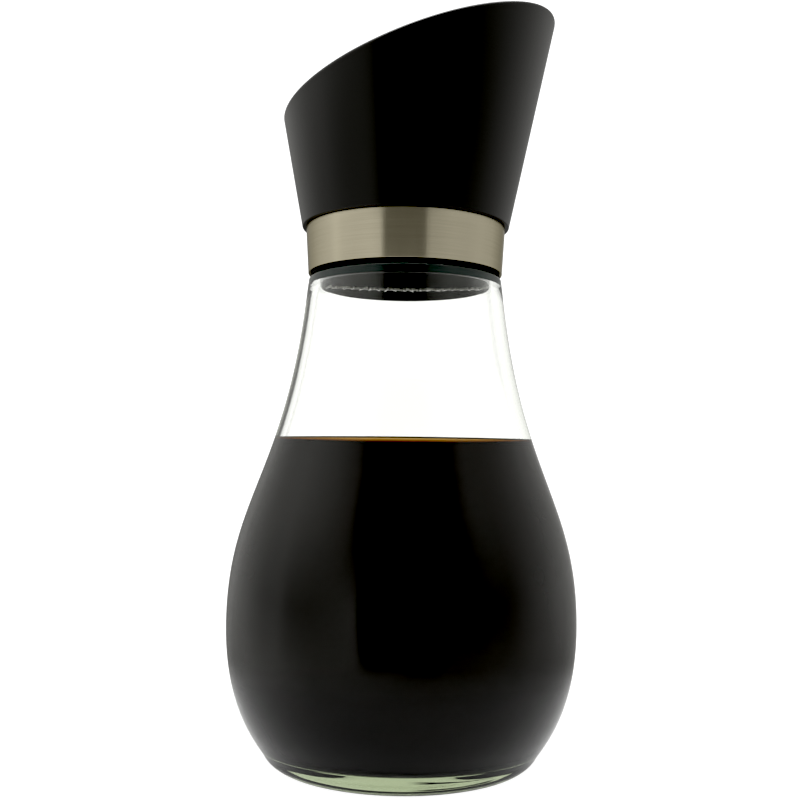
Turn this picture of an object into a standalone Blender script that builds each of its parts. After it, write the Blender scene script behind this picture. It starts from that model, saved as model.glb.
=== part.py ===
"""Balsamic vinegar bottle: a pear-shaped glass carafe with a slanted black pouring cap.

The bottle stands on its flat foot, with its axis on +Z and the origin at the middle of the foot.
The cap's high pouring lip points along +X. Every length is in metres.
"""

import math

import bmesh
import bpy
from mathutils import Matrix, Vector

COLLECTION = "balsamic_vinegar_bottle"
SEGMENTS = 48
BELLY_STEPS = 8
SHOULDER_STEPS = 16
CORNER_STEPS = 4
EDGE_STEPS = 3
CLEARANCE = 0.0003

# The glass outside: flat foot, round heel, belly, shoulder and neck
FOOT_RADIUS = 0.02555
HEEL_RADIUS = 0.0055
HEEL_TURN = math.radians(62.5)
HEEL_HANDLE = 0.0020
BELLY_RADIUS = 0.0388
BELLY_HEIGHT = 0.0308
BELLY_LOWER_HANDLE = 0.0189
BELLY_UPPER_HANDLE = 0.0283
NECK_RADIUS = 0.0219
NECK_HEIGHT = 0.1077
NECK_HANDLE = 0.0454
NECK_LEAN = 0.089
LIP_ROUNDING = 0.0008

# The glass inside, and the plain neck end that the collar hides
WALL = 0.00215
FLOOR_HEIGHT = 0.0052
FLOOR_RADIUS = 0.0245
FLOOR_CORNER_START = 0.25
FLOOR_CORNER_EASE = 0.5
WALL_CORNER_EASE = 0.3
BORE_RADIUS = 0.0197
BORE_START_HEIGHT = 0.1060
NECK_END_RADIUS = 0.0208
NECK_END_HEIGHT = 0.1165

# The vinegar, with the rim that creeps up the glass
VINEGAR_LEVEL = 0.0696
MENISCUS_RISE = 0.0012
MENISCUS_WIDTH = 0.0055

# The black sealing ring and the brushed steel collar above it
SEAL_INNER_RADIUS = 0.0211
SEAL_OUTER_RADIUS = 0.0216
SEAL_HEIGHT = 0.0003
COLLAR_LOWER_RADIUS = 0.02205
COLLAR_UPPER_RADIUS = 0.02270
COLLAR_INNER_RADIUS = 0.0211
COLLAR_EDGE = 0.0001

# The stopper inside the neck
STOPPER_BOTTOM = 0.1056
STOPPER_RADIUS = 0.0194
STOPPER_EDGE = 0.0005

# The slanted pouring cap
CAP_BOTTOM = 0.1195
CAP_FOOT_RADIUS = 0.0236
CAP_FLARE = 0.2027
CAP_LEAN = 0.0158
CAP_RIM_AXIS_HEIGHT = 0.15490
CAP_RIM_SLOPE = math.radians(19.87)
CAP_WALL = 0.0022
CAP_FLOOR = 0.1240
CAP_FOOT_ROUNDING = 0.0004
CAP_RIM_ROUNDING = 0.0006
CAP_BLANK_TOP = 0.1750
POUR_RECESS_RADIUS = 0.0080
POUR_RECESS_DEPTH = 0.0012


def clear_scene():
    """Remove every object that the scene holds."""
    for obj in list(bpy.data.objects):
        bpy.data.objects.remove(obj, do_unlink=True)


def make_material(name, colour, roughness, metallic=0.0, transmission=0.0):
    """Make a Principled material with one colour."""
    material = bpy.data.materials.new(name)
    material.use_nodes = True
    shader = material.node_tree.nodes["Principled BSDF"]
    shader.inputs["Base Color"].default_value = (*colour, 1.0)
    shader.inputs["Roughness"].default_value = roughness
    shader.inputs["Metallic"].default_value = metallic
    shader.inputs["Transmission Weight"].default_value = transmission
    return material


def clear_glass():
    """Clear soda-lime glass with a faint green tint."""
    return make_material("clear_glass", (0.93, 0.97, 0.95), 0.02, transmission=1.0)


def dark_vinegar():
    """Balsamic vinegar, nearly black."""
    return make_material("dark_vinegar", (0.012, 0.006, 0.003), 0.05)


def brushed_steel():
    """Warm grey stainless steel, brushed round the collar."""
    return make_material("brushed_steel", (0.52, 0.49, 0.44), 0.34, metallic=1.0)


def black_rubber():
    """Dull black rubber of the sealing ring."""
    return make_material("black_rubber", (0.012, 0.012, 0.012), 0.7)


def satin_black(name):
    """Satin black moulded plastic."""
    return make_material(name, (0.014, 0.014, 0.014), 0.38)


def bezier(start, start_handle, end_handle, end, steps):
    """Return the points of a cubic Bezier curve, both ends included."""
    points = []
    for step in range(steps + 1):
        t = step / steps
        s = 1.0 - t
        weights = (s**3, 3 * s * s * t, 3 * s * t * t, t**3)
        corners = (start, start_handle, end_handle, end)
        r = sum(w * c[0] for w, c in zip(weights, corners))
        z = sum(w * c[1] for w, c in zip(weights, corners))
        points.append((r, z))
    return points


def arc(centre, radius, start, end, steps):
    """Return the points of an arc, both ends included, with angles in radians from +r to +z."""
    points = []
    for step in range(steps + 1):
        angle = start + (end - start) * step / steps
        r = centre[0] + radius * math.cos(angle)
        z = centre[1] + radius * math.sin(angle)
        points.append((r, z))
    return points


def inset(points, distance):
    """Move a curve that runs up the outside of a turned shape inwards by a distance."""
    moved = []
    for i, (r, z) in enumerate(points):
        before = points[max(i - 1, 0)]
        after = points[min(i + 1, len(points) - 1)]
        run = Vector((after[0] - before[0], after[1] - before[1])).normalized()
        moved.append((r - run.y * distance, z + run.x * distance))
    return moved


def belly_curve(start_fraction):
    """Return the outside from the heel up to the widest place, from a fraction of the way on."""
    heel_end = (
        FOOT_RADIUS + HEEL_RADIUS * math.sin(HEEL_TURN),
        HEEL_RADIUS * (1.0 - math.cos(HEEL_TURN)),
    )
    heel_handle = (
        heel_end[0] + HEEL_HANDLE * math.cos(HEEL_TURN),
        heel_end[1] + HEEL_HANDLE * math.sin(HEEL_TURN),
    )
    belly_handle = (BELLY_RADIUS, BELLY_HEIGHT - BELLY_LOWER_HANDLE)
    points = bezier(heel_end, heel_handle, belly_handle, (BELLY_RADIUS, BELLY_HEIGHT), BELLY_STEPS)
    return points[round(start_fraction * BELLY_STEPS):]


def shoulder_curve():
    """Return the outside from the widest place up to the neck."""
    return bezier(
        (BELLY_RADIUS, BELLY_HEIGHT),
        (BELLY_RADIUS, BELLY_HEIGHT + BELLY_UPPER_HANDLE),
        (NECK_RADIUS + NECK_HANDLE * math.sin(NECK_LEAN), NECK_HEIGHT - NECK_HANDLE * math.cos(NECK_LEAN)),
        (NECK_RADIUS, NECK_HEIGHT),
        SHOULDER_STEPS,
    )


def glass_outside():
    """Return the outside of the glass, from the foot's edge up to the neck's end."""
    points = arc((FOOT_RADIUS, HEEL_RADIUS), HEEL_RADIUS, -math.pi / 2, HEEL_TURN - math.pi / 2, EDGE_STEPS)
    points += belly_curve(0.0)[1:]
    points += shoulder_curve()[1:-1]
    lip_centre = (NECK_RADIUS - LIP_ROUNDING, NECK_HEIGHT - LIP_ROUNDING)
    points += arc(lip_centre, LIP_ROUNDING, 0.0, math.pi / 2, EDGE_STEPS)
    points.append((NECK_END_RADIUS, NECK_HEIGHT))
    points.append((NECK_END_RADIUS, NECK_END_HEIGHT))
    return points


def glass_inside():
    """Return the inside of the glass, from the edge of its floor up to the mouth."""
    wall = inset(belly_curve(FLOOR_CORNER_START), WALL)
    wall += [p for p in inset(shoulder_curve(), WALL)[1:] if p[1] < BORE_START_HEIGHT]
    rise = Vector((wall[1][0] - wall[0][0], wall[1][1] - wall[0][1])).normalized()
    corner = math.dist((FLOOR_RADIUS, FLOOR_HEIGHT), wall[0])
    floor_end = (FLOOR_RADIUS, FLOOR_HEIGHT)
    floor_handle = (FLOOR_RADIUS + corner * FLOOR_CORNER_EASE, FLOOR_HEIGHT)
    lead = corner * WALL_CORNER_EASE
    wall_handle = (wall[0][0] - rise.x * lead, wall[0][1] - rise.y * lead)
    points = bezier(floor_end, floor_handle, wall_handle, wall[0], CORNER_STEPS)
    points += wall[1:]
    points.append((BORE_RADIUS, BORE_START_HEIGHT))
    points.append((BORE_RADIUS, NECK_END_HEIGHT))
    return points


def turned_blank(name, profile, ring=False):
    """Make an object of a profile turned about Z.

    The profile is a list of (radius, height). It runs down the outer side, and a ring's closes on itself.
    """
    mesh = bpy.data.meshes.new(name)
    edges = [(i, i + 1) for i in range(len(profile) - 1)]
    if ring:
        edges.append((len(profile) - 1, 0))
    mesh.from_pydata([(r, 0.0, z) for r, z in profile], edges, [])
    obj = bpy.data.objects.new(name, mesh)
    screw = obj.modifiers.new("Turn", "SCREW")
    screw.axis = "Z"
    screw.angle = math.tau
    screw.steps = SEGMENTS
    screw.render_steps = SEGMENTS
    screw.use_merge_vertices = True
    screw.merge_threshold = 0.00001
    return obj


def place(obj, collection, material):
    """Link an object to the collection and give it its material."""
    collection.objects.link(obj)
    obj.data.materials.append(material)
    return obj


def shade(obj, sharp=math.radians(35)):
    """Shade a finished object smooth, except across its sharp edges."""
    obj.data.shade_smooth()
    obj.data.set_sharp_from_angle(angle=sharp)


def turned_part(name, profile, collection, material, ring=False):
    """Make a turned part as one smooth-shaded mesh."""
    blank = turned_blank(name + "_blank", profile, ring)
    collection.objects.link(blank)
    bpy.context.view_layer.update()
    mesh = bpy.data.meshes.new_from_object(blank.evaluated_get(bpy.context.evaluated_depsgraph_get()))
    bpy.data.objects.remove(blank, do_unlink=True)
    mesh.name = name
    obj = place(bpy.data.objects.new(name, mesh), collection, material)
    shade(obj)
    return obj


def bottle_glass(collection):
    """Make the blown glass: one wall from the floor to the neck's end, open at the mouth."""
    inside = glass_inside()
    outside = glass_outside()
    profile = [(0.0, FLOOR_HEIGHT)] + inside + outside[::-1] + [(0.0, 0.0)]
    return turned_part("bottle_glass", profile, collection, clear_glass())


def vinegar(collection):
    """Make the vinegar as one solid, up to its level and clear of the glass."""
    inside = inset(glass_inside(), CLEARANCE)
    wetted_top = VINEGAR_LEVEL + MENISCUS_RISE
    wetted = [p for p in inside if p[1] < wetted_top]
    below = wetted[-1]
    above = inside[len(wetted)]
    fraction = (wetted_top - below[1]) / (above[1] - below[1])
    rim = (below[0] + (above[0] - below[0]) * fraction, wetted_top)
    surface = [(0.0, VINEGAR_LEVEL)]
    for step in range(EDGE_STEPS, 0, -1):
        back = step / EDGE_STEPS
        surface.append((rim[0] - MENISCUS_WIDTH * back, VINEGAR_LEVEL + MENISCUS_RISE * (1.0 - back) ** 2))
    profile = surface + [rim] + wetted[::-1] + [(0.0, FLOOR_HEIGHT + CLEARANCE)]
    return turned_part("vinegar", profile, collection, dark_vinegar())


def sealing_ring(collection):
    """Make the black ring on the neck's shoulder, under the collar."""
    bottom = NECK_HEIGHT + CLEARANCE
    top = bottom + SEAL_HEIGHT
    profile = [
        (SEAL_OUTER_RADIUS, top),
        (SEAL_OUTER_RADIUS, bottom),
        (SEAL_INNER_RADIUS, bottom),
        (SEAL_INNER_RADIUS, top),
    ]
    return turned_part("sealing_ring", profile, collection, black_rubber(), ring=True)


def steel_collar(collection):
    """Make the brushed steel collar, a little wider at its top."""
    bottom = NECK_HEIGHT + SEAL_HEIGHT + 2 * CLEARANCE
    top = CAP_BOTTOM - CLEARANCE
    upper = arc((COLLAR_UPPER_RADIUS - COLLAR_EDGE, top - COLLAR_EDGE), COLLAR_EDGE, math.pi / 2, 0.0, 2)
    lower = arc((COLLAR_LOWER_RADIUS - COLLAR_EDGE, bottom + COLLAR_EDGE), COLLAR_EDGE, 0.0, -math.pi / 2, 2)
    profile = upper + lower + [(COLLAR_INNER_RADIUS, bottom), (COLLAR_INNER_RADIUS, top)]
    return turned_part("steel_collar", profile, collection, brushed_steel(), ring=True)


def stopper(collection):
    """Make the stopper: a plug in the bore under a flange that rests on the mouth."""
    top = CAP_BOTTOM - CLEARANCE
    flange_bottom = NECK_END_HEIGHT + CLEARANCE
    edge_centre = (STOPPER_RADIUS - STOPPER_EDGE, STOPPER_BOTTOM + STOPPER_EDGE)
    profile = [
        (0.0, top),
        (NECK_END_RADIUS, top),
        (NECK_END_RADIUS, flange_bottom),
        (STOPPER_RADIUS, flange_bottom),
    ]
    profile += arc(edge_centre, STOPPER_EDGE, 0.0, -math.pi / 2, EDGE_STEPS)
    profile.append((0.0, STOPPER_BOTTOM))
    return turned_part("stopper", profile, collection, satin_black("stopper_black"))


def cap_radius(height):
    """Return the cap's outer radius about its own axis at a height."""
    return CAP_FOOT_RADIUS + CAP_FLARE * (height - CAP_BOTTOM)


def cap_profile():
    """Return the profile of the cap before its top is cut off at a slant."""
    flare_angle = math.atan(CAP_FLARE)
    wall = CAP_WALL / math.cos(flare_angle)
    recess_floor = CAP_FLOOR - POUR_RECESS_DEPTH
    inside = [
        (0.0, recess_floor),
        (POUR_RECESS_RADIUS, recess_floor),
        (POUR_RECESS_RADIUS + CLEARANCE, CAP_FLOOR),
        (cap_radius(CAP_FLOOR) - wall, CAP_FLOOR),
        (cap_radius(CAP_BLANK_TOP) - wall, CAP_BLANK_TOP),
    ]
    centre_height = CAP_BOTTOM + CAP_FOOT_ROUNDING
    centre_radius = cap_radius(centre_height) - CAP_FOOT_ROUNDING / math.cos(flare_angle)
    centre = (centre_radius, centre_height)
    foot = arc(centre, CAP_FOOT_ROUNDING, -flare_angle, -math.pi / 2, EDGE_STEPS)
    return inside + [(cap_radius(CAP_BLANK_TOP), CAP_BLANK_TOP)] + foot + [(0.0, CAP_BOTTOM)]


def pourer_cap(collection):
    """Make the flared cap, hollow like a funnel, with its rim cut at a slant towards the lip."""
    obj = turned_part("pourer_cap", cap_profile(), collection, satin_black("cap_black"))
    body = bmesh.new()
    body.from_mesh(obj.data)
    to_foot = Matrix.Translation((0.0, 0.0, -CAP_BOTTOM))
    lean = to_foot.inverted() @ Matrix.Shear("XY", 4, (CAP_LEAN, 0.0)) @ to_foot
    bmesh.ops.transform(body, matrix=lean, verts=body.verts)
    cut = bmesh.ops.bisect_plane(
        body,
        geom=body.verts[:] + body.edges[:] + body.faces[:],
        plane_co=(0.0, 0.0, CAP_RIM_AXIS_HEIGHT),
        plane_no=(-math.sin(CAP_RIM_SLOPE), 0.0, math.cos(CAP_RIM_SLOPE)),
        clear_outer=True,
    )
    rim_edges = [item for item in cut["geom_cut"] if isinstance(item, bmesh.types.BMEdge)]
    bmesh.ops.bridge_loops(body, edges=rim_edges)
    bmesh.ops.recalc_face_normals(body, faces=body.faces)
    body.to_mesh(obj.data)
    body.free()
    rounding = obj.modifiers.new("Rounded edges", "BEVEL")
    rounding.width = CAP_RIM_ROUNDING
    rounding.segments = 2
    rounding.limit_method = "ANGLE"
    rounding.angle_limit = math.radians(50)
    shade(obj)
    return obj


def main():
    """Build every part of the bottle."""
    clear_scene()
    collection = bpy.data.collections.new(COLLECTION)
    bpy.context.scene.collection.children.link(collection)
    bottle_glass(collection)
    vinegar(collection)
    sealing_ring(collection)
    steel_collar(collection)
    stopper(collection)
    pourer_cap(collection)


main()
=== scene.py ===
"""Looks of the balsamic vinegar bottle: its glass, vinegar, sealing ring, collar, stopper and cap.

The bottle stands on its foot, with its axis on +Z and the cap's high pouring lip along +X.
Every length is in metres. Each sub-assembly is a class that holds its sizes, models its mesh
and dresses it.
"""

from __future__ import annotations

import logging
import math
from dataclasses import dataclass, field
from enum import Enum, IntEnum

import bmesh
import bpy
from mathutils import Matrix, Vector

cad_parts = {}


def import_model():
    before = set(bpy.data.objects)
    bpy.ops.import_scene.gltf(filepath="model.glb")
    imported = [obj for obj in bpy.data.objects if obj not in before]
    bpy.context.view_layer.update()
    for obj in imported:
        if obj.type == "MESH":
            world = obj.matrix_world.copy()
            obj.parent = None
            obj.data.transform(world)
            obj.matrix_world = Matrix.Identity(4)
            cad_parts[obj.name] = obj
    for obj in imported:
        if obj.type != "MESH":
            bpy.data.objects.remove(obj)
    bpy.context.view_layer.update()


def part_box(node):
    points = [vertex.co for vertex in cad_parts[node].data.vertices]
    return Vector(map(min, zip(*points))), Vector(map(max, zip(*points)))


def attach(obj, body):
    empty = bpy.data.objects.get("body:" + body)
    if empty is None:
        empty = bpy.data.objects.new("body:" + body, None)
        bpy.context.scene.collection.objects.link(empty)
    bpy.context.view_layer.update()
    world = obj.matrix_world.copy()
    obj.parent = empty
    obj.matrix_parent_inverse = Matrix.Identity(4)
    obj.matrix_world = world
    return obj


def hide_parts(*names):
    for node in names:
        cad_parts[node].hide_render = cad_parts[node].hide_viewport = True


LOG = logging.getLogger("vinegar_bottle")
BODY = "root"
SEGMENTS = 192
MERGE_DISTANCE = 1e-6
SMOOTH_LIMIT = math.radians(32)
QUARTER = math.pi / 2
GLASS_IOR = 1.5
VINEGAR_IOR = 1.35

Point = tuple[float, float]
Colour = tuple[float, float, float]
Stops = list[tuple[float, Colour]]
Ring = tuple[tuple[float, float], ...]


class Slot(Enum):
    """Material slots that the record names."""

    GLASS = "clear_glass"
    VINEGAR = "dark_vinegar"
    RUBBER = "black_rubber"
    STEEL = "brushed_steel"
    STOPPER = "stopper_black"
    CAP = "cap_black"


class VinegarFace(IntEnum):
    """Finishes of the vinegar's dark body, in the order of its materials."""

    WALL = 0
    LEVEL = 1


class StopperFace(IntEnum):
    """Finishes of the stopper, in the order of its materials."""

    SIDE = 0
    UNDERSIDE = 1
    RIM = 2


def bezier(start: Point, start_handle: Point, end_handle: Point, end: Point, steps: int) -> list[Point]:
    """Work out a cubic curve in the profile plane.

    Args:
        start: Radius and height of the first point.
        start_handle: Point that the curve leaves towards.
        end_handle: Point that the curve arrives from.
        end: Radius and height of the last point.
        steps: Number of stretches between the points.

    Returns:
        The points, both ends included.
    """
    points = []
    for step in range(steps + 1):
        t = step / steps
        s = 1.0 - t
        weights = (s**3, 3 * s * s * t, 3 * s * t * t, t**3)
        corners = (start, start_handle, end_handle, end)
        radius = sum(weight * corner[0] for weight, corner in zip(weights, corners))
        height = sum(weight * corner[1] for weight, corner in zip(weights, corners))
        points.append((radius, height))
    return points


def arc(centre: Point, radius: float, start: float, end: float, steps: int) -> list[Point]:
    """Work out a round corner in the profile plane.

    Args:
        centre: Radius and height of the arc's centre.
        radius: Size of the rounding.
        start: First angle in radians, from +radius towards +height.
        end: Last angle.
        steps: Number of stretches between the points.

    Returns:
        The points, both ends included.
    """
    angles = [start + (end - start) * step / steps for step in range(steps + 1)]
    return [(centre[0] + radius * math.cos(a), centre[1] + radius * math.sin(a)) for a in angles]


def ease(share: float) -> float:
    """Swing softly from 0 to 1 and back, once over every two units of the share."""
    return 0.5 - 0.5 * math.cos(math.pi * share)


def inset(points: list[Point], distance: float) -> list[Point]:
    """Move a curve that runs up the outside of a turned shape inwards.

    Args:
        points: The curve, from bottom to top.
        distance: How far it moves. A negative distance moves it outwards.

    Returns:
        The moved points.
    """
    moved = []
    for i, (radius, height) in enumerate(points):
        before = points[max(i - 1, 0)]
        after = points[min(i + 1, len(points) - 1)]
        run = Vector((after[0] - before[0], after[1] - before[1])).normalized()
        moved.append((radius - run.y * distance, height + run.x * distance))
    return moved


def spin_profile(profile: list[Point], closed: bool = False) -> bmesh.types.BMesh:
    """Turn a profile about the bottle's axis.

    Args:
        profile: Radius and height of each point.
        closed: Whether the profile joins up with itself, as a ring's does.

    Returns:
        The turned shape, with its poles closed and its faces pointing out.
    """
    shape = bmesh.new()
    verts = [shape.verts.new((radius, 0.0, height)) for radius, height in profile]
    edges = [shape.edges.new(pair) for pair in zip(verts, verts[1:])]
    if closed:
        edges.append(shape.edges.new((verts[-1], verts[0])))
    bmesh.ops.spin(
        shape,
        geom=verts + edges,
        cent=(0.0, 0.0, 0.0),
        axis=(0.0, 0.0, 1.0),
        angle=math.tau,
        steps=SEGMENTS,
        use_merge=True,
    )
    bmesh.ops.remove_doubles(shape, verts=shape.verts, dist=MERGE_DISTANCE)
    bmesh.ops.recalc_face_normals(shape, faces=shape.faces)
    return shape


def make_piece(shape: bmesh.types.BMesh, name: str, *materials: bpy.types.Material) -> bpy.types.Object:
    """Turn a finished shape into a smooth-shaded piece at the origin.

    Args:
        shape: The finished shape. It is freed.
        name: Name of the piece.
        materials: Its finishes, in the order of the faces' material numbers.

    Returns:
        The new object.
    """
    mesh = bpy.data.meshes.new(name)
    shape.to_mesh(mesh)
    shape.free()
    for material in materials:
        mesh.materials.append(material)
    mesh.shade_smooth()
    mesh.set_sharp_from_angle(angle=SMOOTH_LIMIT)
    piece = bpy.data.objects.new(name, mesh)
    bpy.context.scene.collection.objects.link(piece)
    return piece


def stand_in(piece: bpy.types.Object, node: str) -> None:
    """Put a piece in the place of a node of the frame.

    Args:
        piece: The finished piece.
        node: The node that it stands for.
    """
    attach(piece, BODY)
    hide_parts(node)
    LOG.info("%s stands for %s with %d faces", piece.name, node, len(piece.data.polygons))


class NodeSheet:
    """A node material or world, with short ways to add and join nodes."""

    def __init__(self, tree: bpy.types.NodeTree) -> None:
        """Empty the tree.

        Args:
            tree: The node tree to fill.
        """
        self.tree = tree
        tree.nodes.clear()

    @classmethod
    def for_material(cls, name: str) -> tuple[NodeSheet, bpy.types.Material]:
        """Start a new material.

        Args:
            name: Name of the material.

        Returns:
            The sheet and the material.
        """
        material = bpy.data.materials.new(name)
        material.use_nodes = True
        return cls(material.node_tree), material

    def plug(self, socket: bpy.types.NodeSocket, value: object) -> None:
        """Set or link one input.

        Args:
            socket: The input.
            value: A constant, or the output socket of another node.
        """
        if isinstance(value, bpy.types.NodeSocket):
            self.tree.links.new(value, socket)
        elif socket.type == "RGBA":
            socket.default_value = (*value, 1.0)
        else:
            socket.default_value = value

    def add(self, kind: str, settings: dict[str, str] | None = None, **sockets: object) -> bpy.types.Node:
        """Add a node.

        Args:
            kind: The node's type, without the leading ShaderNode.
            settings: Properties of the node itself.
            sockets: Values of its inputs, with underscores for the spaces in their names.

        Returns:
            The new node.
        """
        node = self.tree.nodes.new("ShaderNode" + kind)
        for name, value in (settings or {}).items():
            setattr(node, name, value)
        for name, value in sockets.items():
            self.plug(node.inputs[name.replace("_", " ")], value)
        return node

    def maths(self, operation: str, *values: object) -> bpy.types.NodeSocket:
        """Add a Math node.

        Args:
            operation: The operation's name.
            values: Its values, in order.

        Returns:
            The result's socket.
        """
        node = self.add("Math", {"operation": operation})
        for socket, value in zip(node.inputs, values):
            self.plug(socket, value)
        return node.outputs["Value"]

    def scale_range(self, value: bpy.types.NodeSocket, **limits: float) -> bpy.types.NodeSocket:
        """Add a Map Range node, which goes from 0 to 1 unless told otherwise.

        Args:
            value: The value that it scales.
            limits: Its From and To limits.

        Returns:
            The scaled value's socket.
        """
        return self.add("MapRange", Value=value, **limits).outputs["Result"]

    def fade(self, value: bpy.types.NodeSocket, start: float, end: float) -> bpy.types.NodeSocket:
        """Add a Map Range node that eases in and out.

        Args:
            value: The value that it follows.
            start: Where it leaves 0.
            end: Where it reaches 1.

        Returns:
            The eased value's socket.
        """
        smooth = {"interpolation_type": "SMOOTHSTEP"}
        return self.add("MapRange", smooth, Value=value, From_Min=start, From_Max=end).outputs["Result"]

    def mix(self, factor: object, first: object, second: object) -> bpy.types.NodeSocket:
        """Add a Mix node for colours.

        Args:
            factor: Share of the second colour.
            first: First colour.
            second: Second colour.

        Returns:
            The mixed colour's socket.
        """
        node = self.add("Mix", {"data_type": "RGBA"})
        for place, value in ((0, factor), (6, first), (7, second)):
            self.plug(node.inputs[place], value)
        return node.outputs[2]

    def blend(
        self,
        factor: bpy.types.NodeSocket,
        first: bpy.types.NodeSocket,
        second: bpy.types.NodeSocket,
    ) -> bpy.types.NodeSocket:
        """Add a Mix Shader node.

        Args:
            factor: Share of the second shader.
            first: First shader.
            second: Second shader.

        Returns:
            The mixed shader's socket.
        """
        node = self.add("MixShader", Fac=factor)
        self.plug(node.inputs[1], first)
        self.plug(node.inputs[2], second)
        return node.outputs["Shader"]

    def ramp(self, factor: bpy.types.NodeSocket, stops: Stops) -> bpy.types.NodeSocket:
        """Add a Color Ramp node.

        Args:
            factor: The value that picks the colour.
            stops: Place and colour of each stop, in order.

        Returns:
            The colour's socket.
        """
        node = self.add("ValToRGB", Fac=factor)
        elements = node.color_ramp.elements
        while len(elements) > 1:
            elements.remove(elements[-1])
        for i, (place, colour) in enumerate(stops):
            element = elements[0] if i == 0 else elements.new(place)
            element.position = place
            element.color = (*colour, 1.0)
        return node.outputs["Color"]

    def relief(self, *layers: tuple[bpy.types.NodeSocket, float]) -> bpy.types.NodeSocket:
        """Add a Bump node for each layer of relief, one on the other.

        Args:
            layers: Pattern and depth of each layer.

        Returns:
            The normal's socket.
        """
        normal = None
        for pattern, depth in layers:
            bump = self.add("Bump", Height=pattern, Distance=depth, Strength=1.0)
            if normal is not None:
                self.plug(bump.inputs["Normal"], normal)
            normal = bump.outputs["Normal"]
        return normal

    def close(self, surface: bpy.types.NodeSocket, output: str = "OutputMaterial") -> bpy.types.Node:
        """Join the surface shader to the tree's output.

        Args:
            surface: The surface shader.
            output: The output node's type, without the leading ShaderNode.

        Returns:
            The output node.
        """
        return self.add(output, Surface=surface)


def close_against_glass(sheet: NodeSheet, colour: bpy.types.NodeSocket) -> None:
    """Finish a material for vinegar that lies against the glass.

    Light that comes through the glass at a low angle is mirrored, because vinegar is thinner than glass.

    Args:
        sheet: The material's nodes.
        colour: The vinegar's colour.
    """
    liquid = sheet.add("BsdfPrincipled", Base_Color=colour, Roughness=0.5, Specular_IOR_Level=0.0)
    mirror = sheet.add("BsdfAnisotropic", Color=(1.0, 1.0, 1.0), Roughness=0.0)
    share = sheet.add("Fresnel", IOR=VINEGAR_IOR / GLASS_IOR)
    sheet.close(sheet.blend(share.outputs["Fac"], liquid.outputs["BSDF"], mirror.outputs["BSDF"]))


@dataclass(frozen=True)
class ClearGlass:
    """Pressed soda-lime glass, clear with a faint yellow-green body."""

    roughness: float = 0.0
    foot_roughness: float = 0.07
    foot_top: float = 0.0012
    tint: Colour = (0.5675, 0.6325, 0.4375)
    density: float = 40.0
    wave_scale: float = 95.0
    wave_stretch: tuple[float, float, float] = (1.0, 1.0, 0.45)
    wave_depth: float = 0.000012

    def material(self) -> bpy.types.Material:
        """Build the glass, with the slight waves that pressed glass has and a foot that is rubbed dull.

        Returns:
            The material.
        """
        sheet, material = NodeSheet.for_material("glass_clear")
        place = sheet.add("TexCoord").outputs["Object"]
        stretch = sheet.add("Mapping", Vector=place, Scale=self.wave_stretch)
        waves = sheet.add("TexNoise", Vector=stretch.outputs["Vector"], Scale=self.wave_scale, Detail=2.0)
        rough = sheet.scale_range(
            sheet.add("SeparateXYZ", Vector=place).outputs["Z"],
            From_Min=self.foot_top / 2,
            From_Max=self.foot_top,
            To_Min=self.foot_roughness,
            To_Max=self.roughness,
        )
        shader = sheet.add(
            "BsdfPrincipled",
            Base_Color=(1.0, 1.0, 1.0),
            Roughness=rough,
            IOR=GLASS_IOR,
            Transmission_Weight=1.0,
            Normal=sheet.relief((waves.outputs["Fac"], self.wave_depth)),
        )
        body = sheet.add("VolumeAbsorption", Color=self.tint, Density=self.density)
        output = sheet.close(shader.outputs["BSDF"])
        sheet.plug(output.inputs["Volume"], body.outputs["Volume"])
        return material


@dataclass(frozen=True)
class DarkVinegar:
    """Vinegar too dark to see through, where it lies against the glass."""

    colour: Colour = (0.0016, 0.0010, 0.0008)
    cloudy: Colour = (0.0040, 0.0027, 0.0020)
    clear_end: float = 0.35
    cloudy_start: float = 0.75
    cloud_scale: float = 34.0

    def material(self) -> bpy.types.Material:
        """Build the near-black brown with a faint cloudiness.

        Returns:
            The material.
        """
        sheet, material = NodeSheet.for_material("vinegar_dark")
        place = sheet.add("TexCoord").outputs["Object"]
        clouds = sheet.add("TexNoise", Vector=place, Scale=self.cloud_scale, Detail=3.0, Roughness=0.55)
        stops = [(self.clear_end, self.colour), (self.cloudy_start, self.cloudy)]
        close_against_glass(sheet, sheet.ramp(clouds.outputs["Fac"], stops))
        return material


@dataclass(frozen=True)
class VinegarSurface:
    """The still, shiny top of the vinegar."""

    colour: Colour = (0.0022, 0.0012, 0.0008)
    roughness: float = 0.02
    ripple_scale: float = 55.0
    ripple_depth: float = 0.00002

    def material(self) -> bpy.types.Material:
        """Build the dark mirror of the liquid, with hardly any ripple.

        Returns:
            The material.
        """
        sheet, material = NodeSheet.for_material("vinegar_surface")
        place = sheet.add("TexCoord").outputs["Object"]
        ripples = sheet.add("TexNoise", Vector=place, Scale=self.ripple_scale, Detail=1.0)
        shader = sheet.add(
            "BsdfPrincipled",
            Base_Color=self.colour,
            Roughness=self.roughness,
            IOR=VINEGAR_IOR,
            Normal=sheet.relief((ripples.outputs["Fac"], self.ripple_depth)),
        )
        sheet.close(shader.outputs["BSDF"])
        return material


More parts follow.
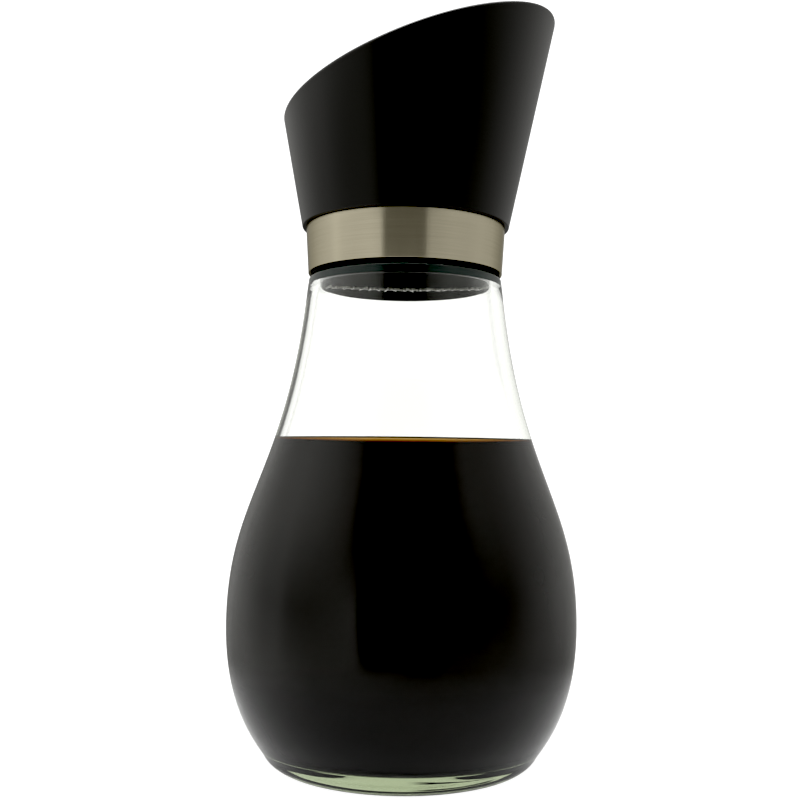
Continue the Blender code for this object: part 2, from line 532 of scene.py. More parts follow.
@dataclass(frozen=True)
class AmberVinegar:
    """The thin edge of the vinegar against the glass, where light comes through it: its own brown and
    amber, painted as bright as that backlight.
    """

    level: float
    rise: float
    depth: Colour = (0.0016, 0.0010, 0.0008)
    # red, brown and amber: the vinegar's own hues, painted as bright as the backlight through the thin
    # edge
    red: Colour = (0.160, 0.0480, 0.0030)
    brown: Colour = (0.420, 0.190, 0.018)
    amber: Colour = (0.820, 0.560, 0.220)
    line: Colour = (0.030, 0.020, 0.006)
    red_height: float = 0.14
    brown_height: float = 0.36
    amber_height: float = 0.70
    line_start: float = 0.70
    line_end: float = 0.78
    taper: float = 2.2

    def material(self) -> bpy.types.Material:
        """Build the brown that clears to amber with height, under a thin dark line along the glass.

        The ramp is painted backlight: the vinegar's own hues, as bright as the light that comes
        through the thinning edge. The heights are shares of the edge's rise. The amber thins out to
        the sides as painted shade, where the glass is seen at a slant and the light has more vinegar to
        cross.

        Returns:
            The material.
        """
        sheet, material = NodeSheet.for_material("vinegar_amber")
        parts = sheet.add("SeparateXYZ", Vector=sheet.add("TexCoord").outputs["Object"])
        top = self.level + self.rise
        height = sheet.scale_range(parts.outputs["Z"], From_Min=self.level, From_Max=top)
        # painted shade: the edge darkens where it is seen at a slant
        facing = sheet.add("LayerWeight", Blend=0.5).outputs["Facing"]
        backlight_share = sheet.maths("SUBTRACT", height, sheet.maths("MULTIPLY", facing, self.taper))
        stops = [
            (0.0, self.depth),
            (self.red_height, self.red),
            (self.brown_height, self.brown),
            (self.amber_height, self.amber),
        ]
        contact = sheet.scale_range(height, From_Min=self.line_start, From_Max=self.line_end)
        close_against_glass(sheet, sheet.mix(contact, sheet.ramp(backlight_share, stops), self.line))
        return material


@dataclass(frozen=True)
class BrushedSteel:
    """Warm grey stainless steel with fine brush lines that run round the collar."""

    dark: Colour = (0.410, 0.380, 0.292)
    light: Colour = (0.442, 0.410, 0.318)
    edge_tint: Colour = (0.72, 0.70, 0.64)
    roughness: float = 0.21
    roughness_spread: float = 0.06
    anisotropy: float = 0.90
    quarter_turn: float = 0.25
    line_scale: tuple[float, float, float] = (60.0, 60.0, 9000.0)
    streak_scale: tuple[float, float, float] = (760.0, 760.0, 60.0)
    grain_scale: tuple[float, float, float] = (2400.0, 2400.0, 1300.0)
    line_depth: float = 0.0000012
    streak_depth: float = 0.0000110
    grain_depth: float = 0.0000022
    dark_end: float = 0.36
    light_start: float = 0.64

    def material(self) -> bpy.types.Material:
        """Build the steel, with brush lines in colour, roughness and relief.

        Returns:
            The material.
        """
        sheet, material = NodeSheet.for_material("steel_brushed")
        place = sheet.add("TexCoord").outputs["Object"]
        patterns = []
        for scale in (self.line_scale, self.streak_scale, self.grain_scale):
            stretched = sheet.add("Mapping", Vector=place, Scale=scale)
            noise = sheet.add("TexNoise", Vector=stretched.outputs["Vector"], Scale=1.0, Detail=2.0)
            patterns.append(noise.outputs["Fac"])
        lines, streaks, _ = patterns
        colour = sheet.ramp(lines, [(self.dark_end, self.dark), (self.light_start, self.light)])
        smoothest = self.roughness - self.roughness_spread / 2
        rough = sheet.maths("MULTIPLY_ADD", streaks, self.roughness_spread, smoothest)
        relief = sheet.relief(*zip(patterns, (self.line_depth, self.streak_depth, self.grain_depth)))
        tangent = sheet.add("Tangent", {"direction_type": "RADIAL", "axis": "Z"})
        shader = sheet.add(
            "BsdfPrincipled",
            Base_Color=colour,
            Metallic=1.0,
            Specular_Tint=self.edge_tint,
            Roughness=rough,
            Anisotropic=self.anisotropy,
            Anisotropic_Rotation=self.quarter_turn,
            Tangent=tangent.outputs["Tangent"],
            Normal=relief,
        )
        sheet.close(shader.outputs["BSDF"])
        return material


@dataclass(frozen=True)
class BlackPlastic:
    """Black moulded plastic or rubber with a fine grain."""

    name: str
    colour: Colour = (0.0035, 0.0034, 0.0033)
    roughness: float = 0.30
    roughness_spread: float = 0.06
    shine: float = 0.5
    grain_scale: float = 2600.0
    grain_depth: float = 0.000006
    smear_scale: float = 60.0

    def material(self) -> bpy.types.Material:
        """Build the black with its moulded grain and slight differences in shine.

        Returns:
            The material.
        """
        sheet, material = NodeSheet.for_material(self.name)
        place = sheet.add("TexCoord").outputs["Object"]
        grain = sheet.add("TexNoise", Vector=place, Scale=self.grain_scale, Detail=2.0)
        smears = sheet.add("TexNoise", Vector=place, Scale=self.smear_scale, Detail=3.0)
        smoothest = self.roughness - self.roughness_spread / 2
        rough = sheet.maths("MULTIPLY_ADD", smears.outputs["Fac"], self.roughness_spread, smoothest)
        shader = sheet.add(
            "BsdfPrincipled",
            Base_Color=self.colour,
            Roughness=rough,
            Specular_IOR_Level=self.shine,
            Normal=sheet.relief((grain.outputs["Fac"], self.grain_depth)),
        )
        sheet.close(shader.outputs["BSDF"])
        return material


@dataclass
class GlassBottle:
    """The pear-shaped glass, with its thick floor and its neck."""

    foot_radius: float = 0.02555
    heel_radius: float = 0.0055
    heel_turn: float = math.radians(62.5)
    heel_handle: float = 0.0020
    belly_radius: float = 0.0388
    belly_height: float = 0.0308
    belly_lower_handle: float = 0.0189
    belly_upper_handle: float = 0.0283
    neck_radius: float = 0.0219
    neck_height: float = 0.1077
    neck_handle: float = 0.0454
    neck_lean: float = 0.089
    lip_rounding: float = 0.0008
    wall: float = 0.00215
    floor_height: float = 0.0055
    floor_radius: float = 0.0245
    floor_corner_start: float = 0.25
    floor_corner_ease: float = 0.5
    wall_corner_ease: float = 0.3
    bore_radius: float = 0.0197
    bore_start_height: float = 0.1060
    neck_end_radius: float = 0.0208
    neck_end_height: float = 0.1165
    push_up: float = 0.0003
    push_up_radius: float = 0.0235
    push_up_slope_share: float = 1.0 / 3.0
    ripple_depth: float = 0.00010
    ripple_count: int = 9
    underside_steps: int = 60
    belly_steps: int = 24
    shoulder_steps: int = 48
    corner_steps: int = 10
    edge_steps: int = 8

    def belly_curve(self, start_fraction: float) -> list[Point]:
        """Work out the outside from the heel up to the widest place.

        Args:
            start_fraction: How far along the curve to start.

        Returns:
            The points, from bottom to top.
        """
        heel_end = (
            self.foot_radius + self.heel_radius * math.sin(self.heel_turn),
            self.heel_radius * (1.0 - math.cos(self.heel_turn)),
        )
        heel_handle = (
            heel_end[0] + self.heel_handle * math.cos(self.heel_turn),
            heel_end[1] + self.heel_handle * math.sin(self.heel_turn),
        )
        widest = (self.belly_radius, self.belly_height)
        belly_handle = (self.belly_radius, self.belly_height - self.belly_lower_handle)
        points = bezier(heel_end, heel_handle, belly_handle, widest, self.belly_steps)
        return points[round(start_fraction * self.belly_steps):]

    def shoulder_curve(self) -> list[Point]:
        """Work out the outside from the widest place up to the neck.

        Returns:
            The points, from bottom to top.
        """
        return bezier(
            (self.belly_radius, self.belly_height),
            (self.belly_radius, self.belly_height + self.belly_upper_handle),
            (
                self.neck_radius + self.neck_handle * math.sin(self.neck_lean),
                self.neck_height - self.neck_handle * math.cos(self.neck_lean),
            ),
            (self.neck_radius, self.neck_height),
            self.shoulder_steps,
        )

    def outside(self) -> list[Point]:
        """Work out the outside, from the foot's edge up to the neck's end.

        Returns:
            The points, from bottom to top.
        """
        heel_centre = (self.foot_radius, self.heel_radius)
        points = arc(heel_centre, self.heel_radius, -QUARTER, self.heel_turn - QUARTER, self.edge_steps)
        points += self.belly_curve(0.0)[1:]
        points += self.shoulder_curve()[1:-1]
        lip_centre = (self.neck_radius - self.lip_rounding, self.neck_height - self.lip_rounding)
        points += arc(lip_centre, self.lip_rounding, 0.0, QUARTER, self.edge_steps)
        points.append((self.neck_end_radius, self.neck_height))
        points.append((self.neck_end_radius, self.neck_end_height))
        return points

    def inside(self) -> list[Point]:
        """Work out the inside, from the edge of the floor up to the mouth.

        Returns:
            The points, from bottom to top.
        """
        wall = inset(self.belly_curve(self.floor_corner_start), self.wall)
        wall += [p for p in inset(self.shoulder_curve(), self.wall)[1:] if p[1] < self.bore_start_height]
        rise = Vector((wall[1][0] - wall[0][0], wall[1][1] - wall[0][1])).normalized()
        floor_end = (self.floor_radius, self.floor_height)
        corner = math.dist(floor_end, wall[0])
        floor_handle = (self.floor_radius + corner * self.floor_corner_ease, self.floor_height)
        lead = corner * self.wall_corner_ease
        wall_handle = (wall[0][0] - rise.x * lead, wall[0][1] - rise.y * lead)
        points = bezier(floor_end, floor_handle, wall_handle, wall[0], self.corner_steps)
        points += wall[1:]
        points.append((self.bore_radius, self.bore_start_height))
        points.append((self.bore_radius, self.neck_end_height))
        return points

    def underside(self) -> list[Point]:
        """Work out the slightly hollow underside with its mould rings.

        Returns:
            The points, from the ring that the foot stands on to the middle.
        """
        points = []
        for step in range(self.underside_steps + 1):
            share = step / self.underside_steps
            dome = self.push_up * ease(min(share / self.push_up_slope_share, 1.0))
            rings = self.ripple_depth * ease(2 * self.ripple_count * share)
            points.append((self.push_up_radius * (1.0 - share), dome + rings))
        return points

    def build(self) -> None:
        """Model and dress the glass."""
        profile = [(0.0, self.floor_height)] + self.inside() + self.outside()[::-1] + self.underside()
        piece = make_piece(spin_profile(profile), "glass_body", ClearGlass().material())
        stand_in(piece, "bottle_glass")


@dataclass
class VinegarFill:
    """The vinegar: a dark body up to its level, and the amber edge that creeps up the glass."""

    glass: GlassBottle
    level: float = 0.0696
    rise: float = 0.0012
    edge_width: float = 0.0050
    edge_fall: float = 0.0016
    reach: float = 0.0001
    overlap: float = 0.0003
    edge_steps: int = 12

    def wetted(self, top: float) -> list[Point]:
        """Work out the vinegar's outside up to a height, just inside the glass so that no air gap shows.

        Args:
            top: Height of the last point.

        Returns:
            The points, from the floor's edge upwards.
        """
        inside = inset(self.glass.inside(), -self.reach)
        below = [p for p in inside if p[1] < top]
        under, over = below[-1], inside[len(below)]
        fraction = (top - under[1]) / (over[1] - under[1])
        return below + [(under[0] + (over[0] - under[0]) * fraction, top)]

    def hollow(self, rim_radius: float) -> list[Point]:
        """Work out the hollow face of the edge, which falls away from the glass as a still liquid's does.

        Args:
            rim_radius: Radius at which the vinegar meets the glass.

        Returns:
            The points, from the glass inwards.
        """
        points = []
        for step in range(1, self.edge_steps + 1):
            distance = self.edge_width * (step / self.edge_steps) ** 2
            height = self.level + self.rise * math.exp(-distance / self.edge_fall)
            points.append((rim_radius - distance, height))
        return points

    def dress_top(self, shape: bmesh.types.BMesh) -> None:
        """Give the level its mirror.

        Args:
            shape: The dark body.
        """
        for face in shape.faces:
            if face.calc_center_median().z > self.level - MERGE_DISTANCE:
                face.material_index = VinegarFace.LEVEL

    def build_body(self) -> None:
        """Model and dress the dark body of the vinegar."""
        bottom = (0.0, self.glass.floor_height - self.reach)
        shape = spin_profile([bottom] + self.wetted(self.level) + [(0.0, self.level)])
        self.dress_top(shape)
        piece = make_piece(shape, "vinegar_body", DarkVinegar().material(), VinegarSurface().material())
        stand_in(piece, "vinegar")

    def build_edge(self) -> None:
        """Model and dress the amber edge: a hollow-faced wedge between the level and the glass."""
        contact = self.wetted(self.level + self.rise)
        foot = self.level - self.overlap
        outer = [p for p in contact if p[1] > foot]
        hollow = self.hollow(contact[-1][0])
        profile = self.wetted(foot)[-1:] + outer + hollow + [(hollow[-1][0], foot)]
        finish = AmberVinegar(self.level, self.rise)
        piece = make_piece(spin_profile(profile, closed=True), "vinegar_edge", finish.material())
        stand_in(piece, "vinegar")

    def build(self) -> None:
        """Build both parts of the vinegar."""
        self.build_body()
        self.build_edge()


@dataclass
class SealingRing:
    """The thin black ring between the glass and the collar."""

    inner_radius: float = 0.0211
    outer_radius: float = 0.0216
    rounding: float = 0.00015
    edge_steps: int = 4

    def build(self) -> None:
        """Model and dress the ring, with its outer edges rounded."""
        low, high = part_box("sealing_ring")
        r = self.rounding
        profile = arc((self.outer_radius - r, low.z + r), r, -QUARTER, 0.0, self.edge_steps)
        profile += arc((self.outer_radius - r, high.z - r), r, 0.0, QUARTER, self.edge_steps)
        profile += [(self.inner_radius, high.z), (self.inner_radius, low.z)]
        finish = BlackPlastic("ring_rubber", roughness=0.62)
        piece = make_piece(spin_profile(profile, closed=True), "ring_black", finish.material())
        stand_in(piece, "sealing_ring")


@dataclass
class SteelCollar:
    """The brushed steel band round the neck, a little wider at its top."""

    lower_radius: float = 0.02205
    upper_radius: float = 0.02270
    inner_radius: float = 0.0211
    edge: float = 0.00012
    edge_steps: int = 6
    wall_steps: int = 4

    def build(self) -> None:
        """Model and dress the band, with its edges rounded."""
        low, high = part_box("steel_collar")
        bottom = (self.lower_radius - self.edge, low.z + self.edge)
        top = (self.upper_radius - self.edge, high.z - self.edge)
        profile = arc(bottom, self.edge, -QUARTER, 0.0, self.edge_steps)
        for step in range(1, self.wall_steps):
            share = step / self.wall_steps
            radius = self.lower_radius + (self.upper_radius - self.lower_radius) * share
            profile.append((radius, bottom[1] + (top[1] - bottom[1]) * share))
        profile += arc(top, self.edge, 0.0, QUARTER, self.edge_steps)
        profile += [(self.inner_radius, high.z), (self.inner_radius, low.z)]
        piece = make_piece(spin_profile(profile, closed=True), "collar_steel", BrushedSteel().material())
        stand_in(piece, "steel_collar")


@dataclass
class Stopper:
    """The black stopper, pressed against the neck's glass, with a row of small ribs underneath."""

    radius: float = 0.0199
    flange_radius: float = 0.0208
    flange_bottom: float = 0.1168
    edge: float = 0.0005
    edge_steps: int = 8
    rib_count: int = 46
    rib_half_row: float = 0.0172
    rib_row_bow: float = 0.0046
    rib_row_middle: float = 0.0012
    rib_lengths: tuple[float, ...] = (0.0034, 0.0012, 0.0026, 0.0042, 0.0008, 0.0030, 0.0018)
    rib_turns: tuple[float, ...] = (0.5, -0.9, 0.2, 1.1, -0.4)
    rib_width: float = 0.00040
    rib_height: float = 0.00050
    rib_sink: float = 0.00006
    rib_rounding: float = 0.00006
    side: BlackPlastic = BlackPlastic(
        "stopper_satin",
        colour=(0.012, 0.026, 0.024),
        shine=0.1,
    )
    under: BlackPlastic = BlackPlastic(
        "stopper_matt",
        colour=(0.004, 0.006, 0.005),
        roughness=0.6,
        shine=0.0,
    )
    rim: BlackPlastic = BlackPlastic(
        "stopper_rim",
        colour=(0.004, 0.006, 0.006),
        roughness=0.12,
    )
    # painted glint: the ribs' light grey stands in for the glints they catch; the plastic is black like
    # the rest of the stopper
    polished: BlackPlastic = BlackPlastic(
        "stopper_ribs_painted_glint",
        colour=(0.30, 0.30, 0.26),
        roughness=0.12,
        grain_depth=0.000001,
    )

    def build_ribs(self, underside: float) -> None:
        """Model and dress the row of small glossy ribs across the underside, their light grey a painted
        glint on the black plastic.

        Args:
            underside: Height of the stopper's underside.
        """
        shape = bmesh.new()
        for number in range(self.rib_count):
            share = 2.0 * number / (self.rib_count - 1) - 1.0
            length = self.rib_lengths[number % len(self.rib_lengths)]
            middle = Vector((
                share * self.rib_half_row,
                self.rib_row_middle - self.rib_row_bow * share * share,
                underside + self.rib_sink - self.rib_height / 2,
            ))
            turn = Matrix.Rotation(self.rib_turns[number % len(self.rib_turns)], 4, "Z")
            size = Matrix.Diagonal((self.rib_width, length, self.rib_height, 1.0))
            bmesh.ops.create_cube(shape, size=1.0, matrix=Matrix.Translation(middle) @ turn @ size)
        bmesh.ops.bevel(
            shape,
            geom=shape.edges[:],
            offset=self.rib_rounding,
            segments=2,
            profile=0.5,
            affect="EDGES",
            material=-1,
        )
        stand_in(make_piece(shape, "stopper_ribs", self.polished.material()), "stopper")

    def dress_underside(self, shape: bmesh.types.BMesh, underside: float) -> None:
        """Give the underside and the lower half of its rounded edge their own finishes.

        Args:
            shape: The stopper.
            underside: Height of its underside.
        """
        for face in shape.faces:
            middle = face.calc_center_median()
            if middle.z < underside + self.edge / 2:
                flat = math.hypot(middle.x, middle.y) < self.radius - self.edge
                face.material_index = StopperFace.UNDERSIDE if flat else StopperFace.RIM

    def build_plug(self, underside: float, top: float) -> None:
        """Model and dress the plug, with its flange over the neck's end.

        Args:
            underside: Height of the plug's underside.
            top: Height of the flange's top.
        """
        edge_centre = (self.radius - self.edge, underside + self.edge)
        profile = [(0.0, top), (self.flange_radius, top), (self.flange_radius, self.flange_bottom)]
        profile.append((self.radius, self.flange_bottom))
        profile += arc(edge_centre, self.edge, 0.0, -QUARTER, self.edge_steps)
        profile.append((0.0, underside))
        shape = spin_profile(profile)
        self.dress_underside(shape, underside)
        finishes = [finish.material() for finish in (self.side, self.under, self.rim)]
        stand_in(make_piece(shape, "stopper_plug", *finishes), "stopper")

    def build(self) -> None:
        """Build the plug and its ribs."""
        low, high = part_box("stopper")
        self.build_plug(low.z, high.z)
        self.build_ribs(low.z)


@dataclass
class PouringCap:
    """The flared cap, hollow like a funnel, with its rim cut at a slant towards the lip."""

    foot_radius: float = 0.0236
    flare: float = 0.2027
    lean: float = 0.0158
    rim_axis_height: float = 0.15490
    rim_slope: float = math.radians(19.87)
    wall: float = 0.0022
    floor: float = 0.1240
    foot_rounding: float = 0.0003
    foot_drop: float = 0.00025
    rim_rounding: float = 0.0008
    rim_segments: int = 5
    blank_top: float = 0.1750
    recess_radius: float = 0.0080
    recess_depth: float = 0.0012
    recess_slant: float = 0.0003
    edge_steps: int = 8
    solid_bottom: float = field(default_factory=lambda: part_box("pourer_cap")[0].z)

    @property
    def bottom(self) -> float:
        """Height of the foot, a little closer to the collar than the solid's."""
        return self.solid_bottom - self.foot_drop

    def outer_radius(self, height: float) -> float:
        """Work out the cap's outer radius about its own axis.

        Args:
            height: Height above the foot of the bottle.

        Returns:
            The radius.
        """
        return self.foot_radius + self.flare * (height - self.solid_bottom)

    def profile(self) -> list[Point]:
        """Work out the profile of the cap before its top is cut off at a slant.

        Returns:
            The points, up the inside and down the outside.
        """
        flare_angle = math.atan(self.flare)
        thickness = self.wall / math.cos(flare_angle)
        recess_floor = self.floor - self.recess_depth
        points = [(0.0, recess_floor), (self.recess_radius, recess_floor)]
        points.append((self.recess_radius + self.recess_slant, self.floor))
        for height in (self.floor, self.blank_top):
            points.append((self.outer_radius(height) - thickness, height))
        points.append((self.outer_radius(self.blank_top), self.blank_top))
        foot_height = self.bottom + self.foot_rounding
        foot_radius = self.outer_radius(foot_height) - self.foot_rounding / math.cos(flare_angle)
        foot = arc((foot_radius, foot_height), self.foot_rounding, -flare_angle, -QUARTER, self.edge_steps)
        return points + foot + [(0.0, self.bottom)]

    def cut_rim(self, shape: bmesh.types.BMesh) -> None:
        """Cut the blank's top off at a slant, close the rim and round its edges.

        Args:
            shape: The turned and leaned blank.
        """
        cut = bmesh.ops.bisect_plane(
            shape,
            geom=shape.verts[:] + shape.edges[:] + shape.faces[:],
            dist=MERGE_DISTANCE,
            plane_co=(0.0, 0.0, self.rim_axis_height),
            plane_no=(-math.sin(self.rim_slope), 0.0, math.cos(self.rim_slope)),
            clear_outer=True,
        )
        loops = [item for item in cut["geom_cut"] if isinstance(item, bmesh.types.BMEdge)]
        bmesh.ops.bridge_loops(shape, edges=loops)
        bmesh.ops.bevel(
            shape,
            geom=loops,
            offset=self.rim_rounding,
            segments=self.rim_segments,
            profile=0.5,
            affect="EDGES",
            material=-1,
        )

    def build(self) -> None:
        """Model and dress the cap."""
        shape = spin_profile(self.profile())
        to_foot = Matrix.Translation((0.0, 0.0, -self.bottom))
        lean = to_foot.inverted() @ Matrix.Shear("XY", 4, (self.lean, 0.0)) @ to_foot
        bmesh.ops.transform(shape, matrix=lean, verts=shape.verts)
        self.cut_rim(shape)
        bmesh.ops.recalc_face_normals(shape, faces=shape.faces)
        piece = make_piece(shape, "cap_flared", BlackPlastic("cap_satin").material())
        stand_in(piece, "pourer_cap")


@dataclass(frozen=True)
class Studio:
    """A pale floor under soft light, with a dim side behind the camera.

    The rings give the brightness round the bottle: degrees from the camera's side, with the lip's
    side positive, and the level there. The low ring lies below the bottle's own height, the
    level ring at it, and the high ring above it, with a window on the left. The backdrop ring is
    what the glass wall's own edge shows: white, with one dark stand behind on the left.
    """

    floor_radius: float = 0.13
    floor_solid_radius: float = 0.04
    floor_segments: int = 96
    floor_drop: float = 0.0001
    floor_colour: Colour = (0.20, 0.20, 0.198)
    floor_glow: float = 0.71
    floor_glow_shown: float = 1.0
    floor_shadow: float = 0.25
    shadow_inner: float = 0.0240
    shadow_outer: float = 0.0360
    backdrop: Colour = (1.0, 1.0, 1.0)
    warmth: Colour = (1.0, 0.995, 0.965)
    peak: float = 1.3
    backdrop_glow: float = 1.25
    first_mirror: float = 0.5
    stand_middle: float = 0.13
    stand_reach: float = 0.14
    low_ring_top: float = -0.36
    high_ring_bottom: float = 0.55
    front_edge: float = -0.15
    back_edge: float = 0.30
    lamp_size: float = 1.2
    lamp_power: float = 9.0
    lamp_place: tuple[float, float, float] = (0.0, 0.1, 1.1)
    black_level: float = 0.035
    light_paths: int = 24
    low_ring: Ring = (
        (-180.0, 0.20),
        (-140.0, 0.34),
        (-118.0, 0.78),
        (-88.0, 1.14),
        (-60.0, 1.02),
        (-35.0, 1.00),
        (-10.0, 0.88),
        (10.0, 0.80),
        (60.0, 0.84),
        (88.0, 0.78),
        (130.0, 0.36),
        (180.0, 0.20),
    )
    level_ring: Ring = (
        (-180.0, 0.10),
        (-160.0, 0.30),
        (-145.0, 0.62),
        (-118.0, 0.84),
        (-96.0, 0.88),
        (-86.0, 1.02),
        (-76.0, 0.86),
        (-60.0, 0.86),
        (-42.0, 0.98),
        (-29.0, 1.02),
        (-23.0, 0.16),
        (21.0, 0.16),
        (27.0, 0.70),
        (75.0, 0.72),
        (95.0, 0.82),
        (118.0, 0.78),
        (150.0, 0.45),
        (180.0, 0.50),
    )
    high_ring: Ring = (
        (-180.0, 0.55),
        (-140.0, 0.70),
        (-112.0, 1.00),
        (-92.0, 1.32),
        (-72.0, 1.28),
        (-56.0, 1.10),
        (-40.0, 0.88),
        (-30.0, 0.55),
        (-22.0, 0.30),
        (22.0, 0.30),
        (30.0, 0.50),
        (55.0, 0.90),
        (85.0, 0.88),
        (118.0, 0.80),
        (150.0, 0.50),
        (180.0, 0.55),
    )
    backdrop_ring: Ring = (
        (-180.0, 1.25),
        (-178.0, 1.25),
        (-173.0, 0.0),
        (-154.0, 0.0),
        (-149.0, 1.25),
        (180.0, 1.25),
    )

    def floor_light(self, sheet: NodeSheet, distance: bpy.types.NodeSocket) -> bpy.types.NodeSocket:
        """Work out how bright the lit floor is, with the bottle's soft shadow in what mirrors it.

        Args:
            sheet: The floor's nodes.
            distance: Distance from the bottle's axis.

        Returns:
            The brightness.
        """
        shadow = sheet.scale_range(
            distance,
            From_Min=self.shadow_inner,
            From_Max=self.shadow_outer,
            To_Min=self.floor_shadow,
            To_Max=self.floor_glow,
        )
        seen_by_camera = sheet.add("LightPath").outputs["Is Camera Ray"]
        shown = sheet.maths("MULTIPLY", seen_by_camera, self.floor_glow_shown)
        return sheet.maths("MAXIMUM", shadow, shown)

    def build_floor(self) -> None:
        """Lay the round light table under the foot. Its edge fades into the white surroundings."""
        shape = bmesh.new()
        bmesh.ops.create_circle(
            shape,
            cap_ends=True,
            segments=self.floor_segments,
            radius=self.floor_radius,
        )
        sheet, material = NodeSheet.for_material("floor_paper")
        length = sheet.add("VectorMath", {"operation": "LENGTH"})
        sheet.plug(length.inputs[0], sheet.add("TexCoord").outputs["Object"])
        distance = length.outputs["Value"]
        paper = sheet.add("BsdfDiffuse", Color=self.floor_colour)
        glow = sheet.add("Emission", Color=self.backdrop, Strength=self.floor_light(sheet, distance))
        table = sheet.add("AddShader")
        sheet.plug(table.inputs[0], paper.outputs["BSDF"])
        sheet.plug(table.inputs[1], glow.outputs["Emission"])
        nothing = sheet.add("BsdfTransparent").outputs["BSDF"]
        edge = sheet.fade(distance, self.floor_solid_radius, self.floor_radius)
        sheet.close(sheet.blend(edge, table.outputs["Shader"], nothing))
        floor = make_piece(shape, "studio_floor", material)
        floor.location.z = -self.floor_drop

    def stops(self, ring: Ring, tone: Colour) -> Stops:
        """Turn a ring of brightness into the stops of a ramp.

        Args:
            ring: Degrees and levels round the bottle.
            tone: Colour of the light.

        Returns:
            Place and colour of each stop.
        """
        stops = []
        for degrees, level in ring:
            place = (degrees + 180.0) / 360.0
            stops.append((place, tuple(level / self.peak * part for part in tone)))
        return stops

    def mirrored_light(
        self,
        sheet: NodeSheet,
        turn: bpy.types.NodeSocket,
        height: bpy.types.NodeSocket,
    ) -> bpy.types.NodeSocket:
        """Paint what the bottle mirrors.

        Args:
            sheet: The surroundings' nodes.
            turn: Share of the way round the bottle.
            height: Height of the direction that is looked in.

        Returns:
            The light's colour.
        """
        light = sheet.ramp(turn, self.stops(self.level_ring, self.warmth))
        for ring, edge in ((self.low_ring, self.low_ring_top), (self.high_ring, self.high_ring_bottom)):
            rise = sheet.scale_range(height, From_Min=0.0, From_Max=edge)
            light = sheet.mix(rise, light, sheet.ramp(turn, self.stops(ring, self.warmth)))
        return light

    def backdrop_light(
        self,
        sheet: NodeSheet,
        turn: bpy.types.NodeSocket,
        height: bpy.types.NodeSocket,
        mirrorings: bpy.types.NodeSocket,
    ) -> bpy.types.NodeSocket:
        """Paint what is seen through the glass.

        Light that was mirrored inside the wall comes out along the bottle's contour, and shows
        the dark stand as the thin line there.

        Args:
            sheet: The surroundings' nodes.
            turn: Share of the way round the bottle.
            height: Height of the direction that is looked in.
            mirrorings: How often the light was mirrored on its way.

        Returns:
            The light's colour.
        """
        white = tuple(self.backdrop_glow / self.peak * part for part in self.backdrop)
        edge_on = sheet.maths("GREATER_THAN", mirrorings, self.first_mirror)
        standing = sheet.maths("COMPARE", height, self.stand_middle, self.stand_reach)
        share = sheet.maths("MULTIPLY", edge_on, standing)
        return sheet.mix(share, white, sheet.ramp(turn, self.stops(self.backdrop_ring, self.backdrop)))

    def build_surroundings(self) -> None:
        """Paint the light round the bottle: what it mirrors, and the white backdrop behind it."""
        world = bpy.data.worlds.new("studio_surroundings")
        world.use_nodes = True
        bpy.context.scene.world = world
        sheet = NodeSheet(world.node_tree)
        direction = sheet.add("SeparateXYZ", Vector=sheet.add("TexCoord").outputs["Generated"]).outputs
        towards_camera = sheet.maths("MULTIPLY", direction["Y"], -1.0)
        angle = sheet.maths("ARCTAN2", direction["X"], towards_camera)
        turn = sheet.scale_range(angle, From_Min=-math.pi, From_Max=math.pi)
        rays = sheet.add("LightPath").outputs
        behind = sheet.fade(direction["Y"], self.front_edge, self.back_edge)
        straight = sheet.maths("LESS_THAN", rays["Glossy Depth"], self.first_mirror)
        seen_through = sheet.maths("MAXIMUM", behind, straight)
        share = sheet.maths("MULTIPLY", rays["Is Transmission Ray"], seen_through)
        mirrored = self.mirrored_light(sheet, turn, direction["Z"])
        backdrop = self.backdrop_light(sheet, turn, direction["Z"], rays["Glossy Depth"])
        colour = sheet.mix(share, mirrored, backdrop)
        colour = sheet.mix(rays["Is Camera Ray"], colour, self.backdrop)
        light = sheet.add("Background", Color=colour, Strength=self.peak)
        sheet.close(light.outputs["Background"], "OutputWorld")

    def build_lamp(self) -> None:
        """Hang the wide soft lamp over the bottle."""
        light = bpy.data.lights.new("softbox_overhead", "AREA")
        light.shape = "DISK"
        light.size = self.lamp_size
        light.energy = self.lamp_power
        lamp = bpy.data.objects.new("softbox_overhead", light)
        lamp.location = self.lamp_place
        bpy.context.scene.collection.objects.link(lamp)

    def set_tones(self) -> None:
        """Give the picture deep blacks, and let light find its way through the thick glass."""
        scene = bpy.context.scene
        settings = scene.view_settings
        settings.view_transform = "Standard"
        settings.look = "None"
        settings.use_curve_mapping = True
        settings.curve_mapping.black_level = (self.black_level,) * 3
        settings.curve_mapping.update()
        scene.cycles.max_bounces = self.light_paths
        scene.cycles.glossy_bounces = self.light_paths
        scene.cycles.transmission_bounces = self.light_paths

    def build(self) -> None:
        """Build the whole studio."""
        self.build_floor()
        self.build_surroundings()
        self.build_lamp()
        self.set_tones()
        LOG.info("studio stands")


@dataclass(frozen=True)
class StudioCamera:
    """The camera at the photograph's place: close, just below the vinegar's level, looking up a little."""

    place: tuple[float, float, float] = (-0.00084, -0.2403, 0.0646)
    pitch: float = math.radians(3.70)
    roll: float = 0.0113
    lens: float = 47.7
    sensor: float = 36.0
    nearest: float = 0.01

    def build(self) -> None:
        """Set the camera up and make it the scene's."""
        data = bpy.data.cameras.new("studio_camera")
        data.lens = self.lens
        data.sensor_width = self.sensor
        data.clip_start = self.nearest
        camera = bpy.data.objects.new("studio_camera", data)
        level = Matrix.Rotation(math.pi / 2 + self.pitch, 4, "X")
        camera.matrix_world = Matrix.Translation(self.place) @ level @ Matrix.Rotation(self.roll, 4, "Z")
        bpy.context.scene.collection.objects.link(camera)
        bpy.context.scene.camera = camera
        LOG.info("camera set")


def corners(box: tuple[Vector, Vector]) -> list[list[float]]:
    """Turn a box into plain lists of numbers.

    Args:
        box: Its lowest and highest corners.

    Returns:
        Both corners as lists.
    """
    return [[float(value) for value in corner] for corner in box]


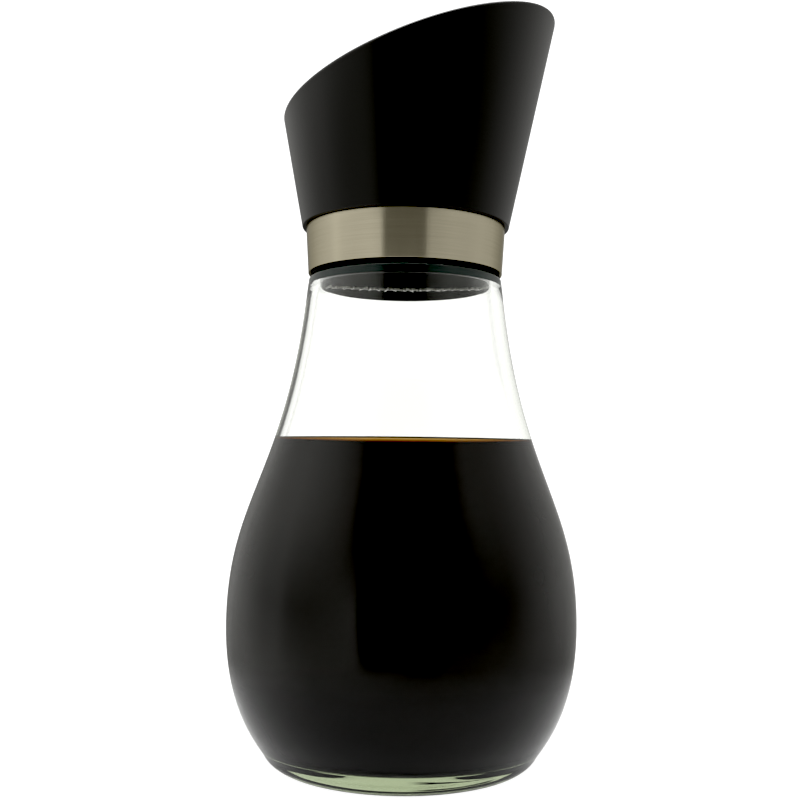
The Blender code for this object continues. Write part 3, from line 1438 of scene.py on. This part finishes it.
def main() -> None:
    """Build the bottle's looks round the frame."""
    logging.basicConfig(level=logging.INFO, format="%(message)s")
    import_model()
    StudioCamera().build()
    Studio().build()
    glass = GlassBottle()
    glass.build()
    VinegarFill(glass).build()
    SealingRing().build()
    SteelCollar().build()
    Stopper().build()
    PouringCap().build()


if __name__ == "__main__":
    main()
